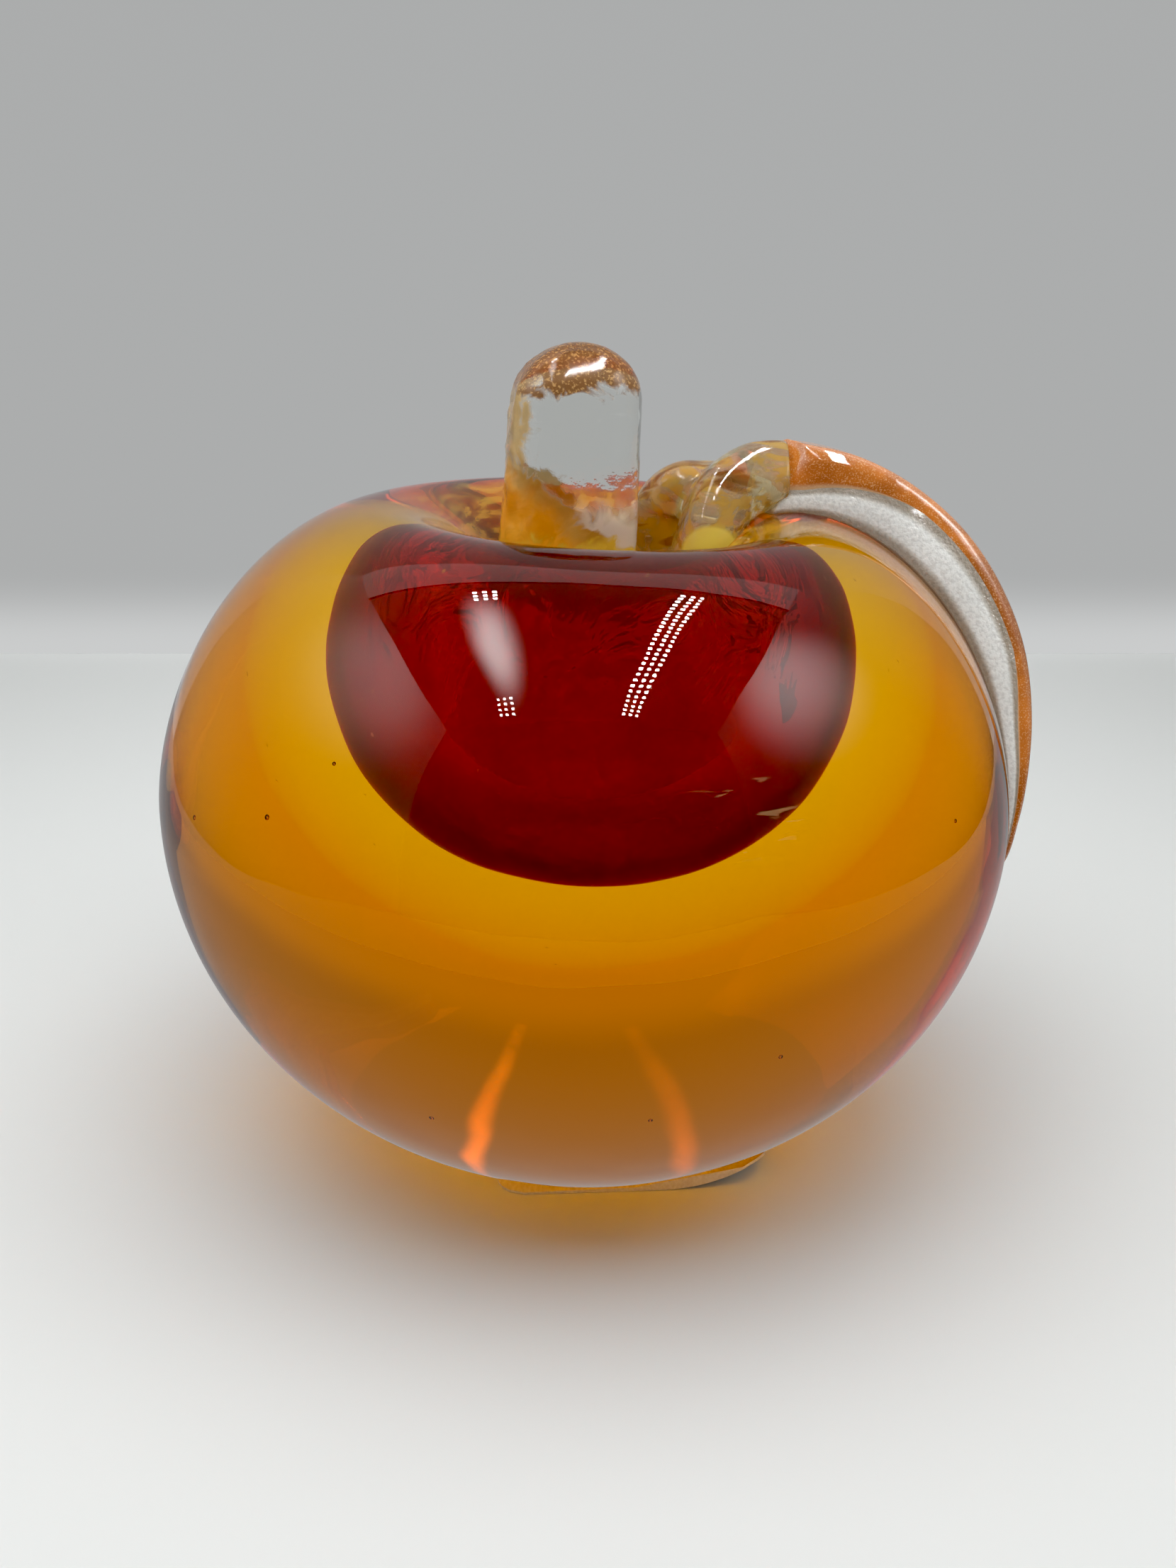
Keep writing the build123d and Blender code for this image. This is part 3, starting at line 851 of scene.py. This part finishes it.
def leaf_sheets():
    # Rows of points of the leaf's underside, the top of its clear part and its outside
    under, split, outside = [], [], []
    for down, front, rear, tilt, thick_share, clear_share in flowing(leaf_stations, leaf_rows):
        radius, height = skin_spot(down)
        near, far = np.array(skin_spot(down + 1)), np.array(skin_spot(down - 1))
        middle = math.radians((front + rear) / 2)
        out = np.array([math.cos(middle), math.sin(middle), 0])
        along = out * (far[0] - near[0]) + np.array([0, 0, far[1] - near[1]])
        along /= np.linalg.norm(along)
        across = np.array([-out[1], out[0], 0])
        up = np.cross(along, across)
        slope = math.radians(tilt)
        up, along = (
            up * math.cos(slope) + along * math.sin(slope),
            along * math.cos(slope) - up * math.sin(slope))
        flatness = math.hypot(up[0], up[1])
        centre = np.array([radius * out[0], radius * out[1], height])
        half = radius * math.radians(rear - front) / 2
        thick, clear = leaf_thickness * thick_share, leaf_thickness * clear_share
        edge = min(leaf_edge * thick_share, half / 2)
        rows = [], [], []
        for share in leaf_columns():
            x = half * share
            drop = x * x * flatness / radius / 2
            taper = 1 - (1 - leaf_rear) * max(share, 0)
            reach = max(1 - (half - abs(x)) / edge, 0)
            top = thick * taper - edge * (1 - math.sqrt(max(1 - reach ** 2, 0)))
            level = min(clear * taper, top - least_amber)
            for row, lift in zip(rows, (-leaf_sink, level, top)):
                row.append(centre + across * x + up * (lift - drop))
        under.append(rows[0])
        split.append(rows[1])
        outside.append(rows[2])
    return under, split, outside


def sheet_shell(low, high, bulge):
    # Closed mesh between two sheets of points, with walls that swell a little outwards, and
    # the height of each point in it as a share
    rows, columns = len(low), len(low[0])
    shares = np.linspace(0, 1, leaf_ribs + 2)[1:-1]
    rings = []
    for low_row, high_row in zip(low, high):
        walls = []
        for side, other in ((columns - 1, columns - 2), (0, 1)):
            outwards = low_row[side] - low_row[other]
            length = np.linalg.norm(outwards)
            outwards = outwards / length if length > 1e-6 else outwards * 0
            height = np.linalg.norm(high_row[side] - low_row[side])
            wall = []
            for share in shares:
                swell = bulge * math.sin(math.pi * share) * min(height / full_bulge_height, 1)
                wall.append(
                    high_row[side] * (1 - share) + low_row[side] * share + outwards * swell)
            walls.append(wall)
        ring = high_row + walls[0] + low_row[::-1] + walls[1][::-1]
        rings.append([tuple(p) for p in ring])
    marks = ([1.0] * columns + list(1 - shares) + [0.0] * columns + list(shares)) * rows
    return (*ring_mesh(rings), marks + [0.5, 0.5])


def leaf_layer(name, points, faces, marks):
    # One layer of the leaf. Each point carries its height in the layer: 0 below, 1 on top
    made = mesh_object(name, settled(points) * MM, faces)
    values = made.data.attributes.new("rise", "FLOAT", "POINT")
    values.data.foreach_set("value", marks)
    return made


def rise_value(material):
    mark = add_node(material, "ShaderNodeAttribute")
    mark.attribute_name = "rise"
    return mark.outputs["Fac"]


leaf_under, leaf_split, leaf_outside = leaf_sheets()
blade = leaf_layer("leaf_blade", *sheet_shell(leaf_under, leaf_split, leaf_bulge))
smooth(blade, 50)
blade_clear, blade_smooth = (0.97, 0.98, 0.95), (0.72, 0.64, 0.52)
# Painted shade: a dark brown for the line where the leaf rests on the apple
blade_painted_shade = (0.24, 0.15, 0.09)
# Bands up the cut edge: where its frost begins and ends, and the painted shade, a dark line along
# its foot where it rests on the apple
frost_begins, frost_ends, painted_shade_line = (0.14, 0.34), (0.90, 0.72), (0.09, 0.03)
pebble_depth, pebble_cloud_depth = 0.0002, 0.0001
blade_glass, blade_skin, place = tinted_glass("leaf_clear_glass", 0.12)
blade_skin.inputs["Base Color"].default_value = (*blade_clear, 1)
pebbles = noise_value(blade_glass, place, 1900, 3)
bump_value(blade_glass, pebbles, pebble_depth, blade_skin)
rise = rise_value(blade_glass)
frosty = math_value(
    blade_glass, "MULTIPLY",
    step_value(blade_glass, rise, *frost_begins), step_value(blade_glass, rise, *frost_ends))
# Painted shade: darkens a band along the foot of the cut edge, where the leaf meets the apple
painted_shade = step_value(blade_glass, rise, *painted_shade_line)
blade_colour = mixed_colour(blade_glass, frosty, blade_smooth, blade_clear)
blade_colour = mixed_colour(blade_glass, painted_shade, blade_colour, blade_painted_shade)
blade_share = math_value(
    blade_glass, "MULTIPLY", step_value(blade_glass, pebbles, 0.35, 0.60, 0.74, 0.88),
    math_value(blade_glass, "ADD", math_value(blade_glass, "MULTIPLY", frosty, 0.5), 0.5))
blade_share = math_value(
    blade_glass, "MAXIMUM", blade_share, math_value(blade_glass, "MULTIPLY", painted_shade, 0.8))
blade_cloud = cloud_over(blade_glass, blade_share, blade_colour, 0.25)
bump_value(blade_glass, pebbles, pebble_cloud_depth, blade_cloud)
finish_piece(blade, ["leaf_blade"], blade_glass)


# Leaf overlay: a thin layer of amber glass with fine copper flecks, picked up on the back
# of the leaf before it was pressed, with a fire polished skin.
overlay_bulge = 0.1
overlay = leaf_layer("leaf_overlay", *sheet_shell(leaf_split, leaf_outside, overlay_bulge))
smooth(overlay, 60)
copper_light, copper_dark = (0.80, 0.26, 0.05), (0.48, 0.145, 0.03)
copper_fleck, copper_pale = (0.98, 0.60, 0.30), (0.80, 0.58, 0.36)
copper_clear, copper_coat, copper_wave_depth = 0.2, 0.3, 0.0004
pale_band, pale_share = (0.30, 0.05), 0.75
copper_glass, copper_skin, place = tinted_glass("copper_fleck_glass", 0.08)
copper_skin.inputs["Transmission Weight"].default_value = copper_clear
copper_skin.inputs["Coat Weight"].default_value = copper_coat
copper_skin.inputs["Coat Roughness"].default_value = 0.05
fine = noise_value(copper_glass, place, 4200, 2)
cloud = noise_value(copper_glass, place, 70, 3, 1.0)
colour = mixed_colour(
    copper_glass, step_value(copper_glass, cloud, 0.35, 0.65), copper_light, copper_dark)
colour = mixed_colour(
    copper_glass, step_value(copper_glass, fine, 0.52, 0.68, 0.0, 0.6), colour, copper_fleck)
pale_edge = step_value(copper_glass, rise_value(copper_glass), *pale_band, 0.0, pale_share)
colour = mixed_colour(copper_glass, pale_edge, colour, copper_pale)
join(copper_glass, colour, copper_skin.inputs["Base Color"])
bump_value(copper_glass, cloud, copper_wave_depth, copper_skin)
finish_piece(overlay, ["leaf_overlay"], copper_glass)


# Base label: a thin paper label stuck under the ground base. Its front right corner has
# come unstuck and curls up, with a torn edge.
label_width, label_depth, label_corner = 41.0, 52.0, 4.0
label_turn_deg, label_rows, label_columns = 3, 61, 40
peel_reach, curl_radius, fold_deg = 12.0, 14.0, -42
peel_spot = (28.0, -28.9)
torn_rows, torn_depth, torn_step, torn_place = 14, 0.12, 0.9, (3.1, 0.4)
fold = (math.cos(math.radians(fold_deg)), math.sin(math.radians(fold_deg)))


def label_point(x, y, lift):
    # Place on the label, turned a little and curled up beyond the fold
    turn = math.radians(label_turn_deg)
    along, up = x - label_width / 2, y + label_depth / 2
    east = peel_spot[0] + along * math.cos(turn) - up * math.sin(turn)
    north = peel_spot[1] + along * math.sin(turn) + up * math.cos(turn)
    beyond = (east - peel_spot[0]) * fold[0] + (north - peel_spot[1]) * fold[1] + peel_reach
    if beyond <= 0:
        return east, north, lift
    swing = beyond / curl_radius
    run = (curl_radius - lift) * math.sin(swing)
    rise = curl_radius - (curl_radius - lift) * math.cos(swing)
    return east + (run - beyond) * fold[0], north + (run - beyond) * fold[1], rise


label_rings = []
for row in range(label_rows):
    y = -label_depth / 2 + label_depth * row / (label_rows - 1)
    inset = max(abs(y) - (label_depth / 2 - label_corner), 0)
    half = label_width / 2 - label_corner + math.sqrt(label_corner ** 2 - inset ** 2)
    if 0 < row < torn_rows:
        half -= torn_depth * noise.noise(Vector((row * torn_step, *torn_place)))
    xs = np.linspace(-half, half, label_columns)
    label_rings.append(
        [label_point(x, y, label_thickness + skin_gap) for x in xs]
        + [label_point(x, y, 0.0) for x in xs[::-1]])
label_points, label_faces = ring_mesh(label_rings)
label_faces = [face[::-1] for face in label_faces]
label = mesh_object("base_label", label_points * MM, label_faces)
smooth(label, 30)
paper_dark, paper_light = (0.80, 0.74, 0.62), (0.90, 0.85, 0.75)
paper_stain, fibre_depth = (0.72, 0.60, 0.42), 0.00005
paper, output = empty_material("label_paper")
paper_skin = add_node(paper, "ShaderNodeBsdfPrincipled", IOR=1.5, Roughness=0.75)
place = add_node(paper, "ShaderNodeTexCoord").outputs["Object"]
fibres = noise_value(paper, place, 2200, 4, 0.0, (1.0, 0.35, 1.0))
stain = noise_value(paper, place, 70, 3, 0.5)
colour = mixed_colour(paper, step_value(paper, fibres, 0.3, 0.7), paper_dark, paper_light)
colour = mixed_colour(paper, step_value(paper, stain, 0.55, 0.75), colour, paper_stain)
join(paper, colour, paper_skin.inputs["Base Color"])
bump_value(paper, fibres, fibre_depth, paper_skin)
join(paper, paper_skin.outputs[0], output.inputs["Surface"])
finish_piece(label, ["base_label"], paper)
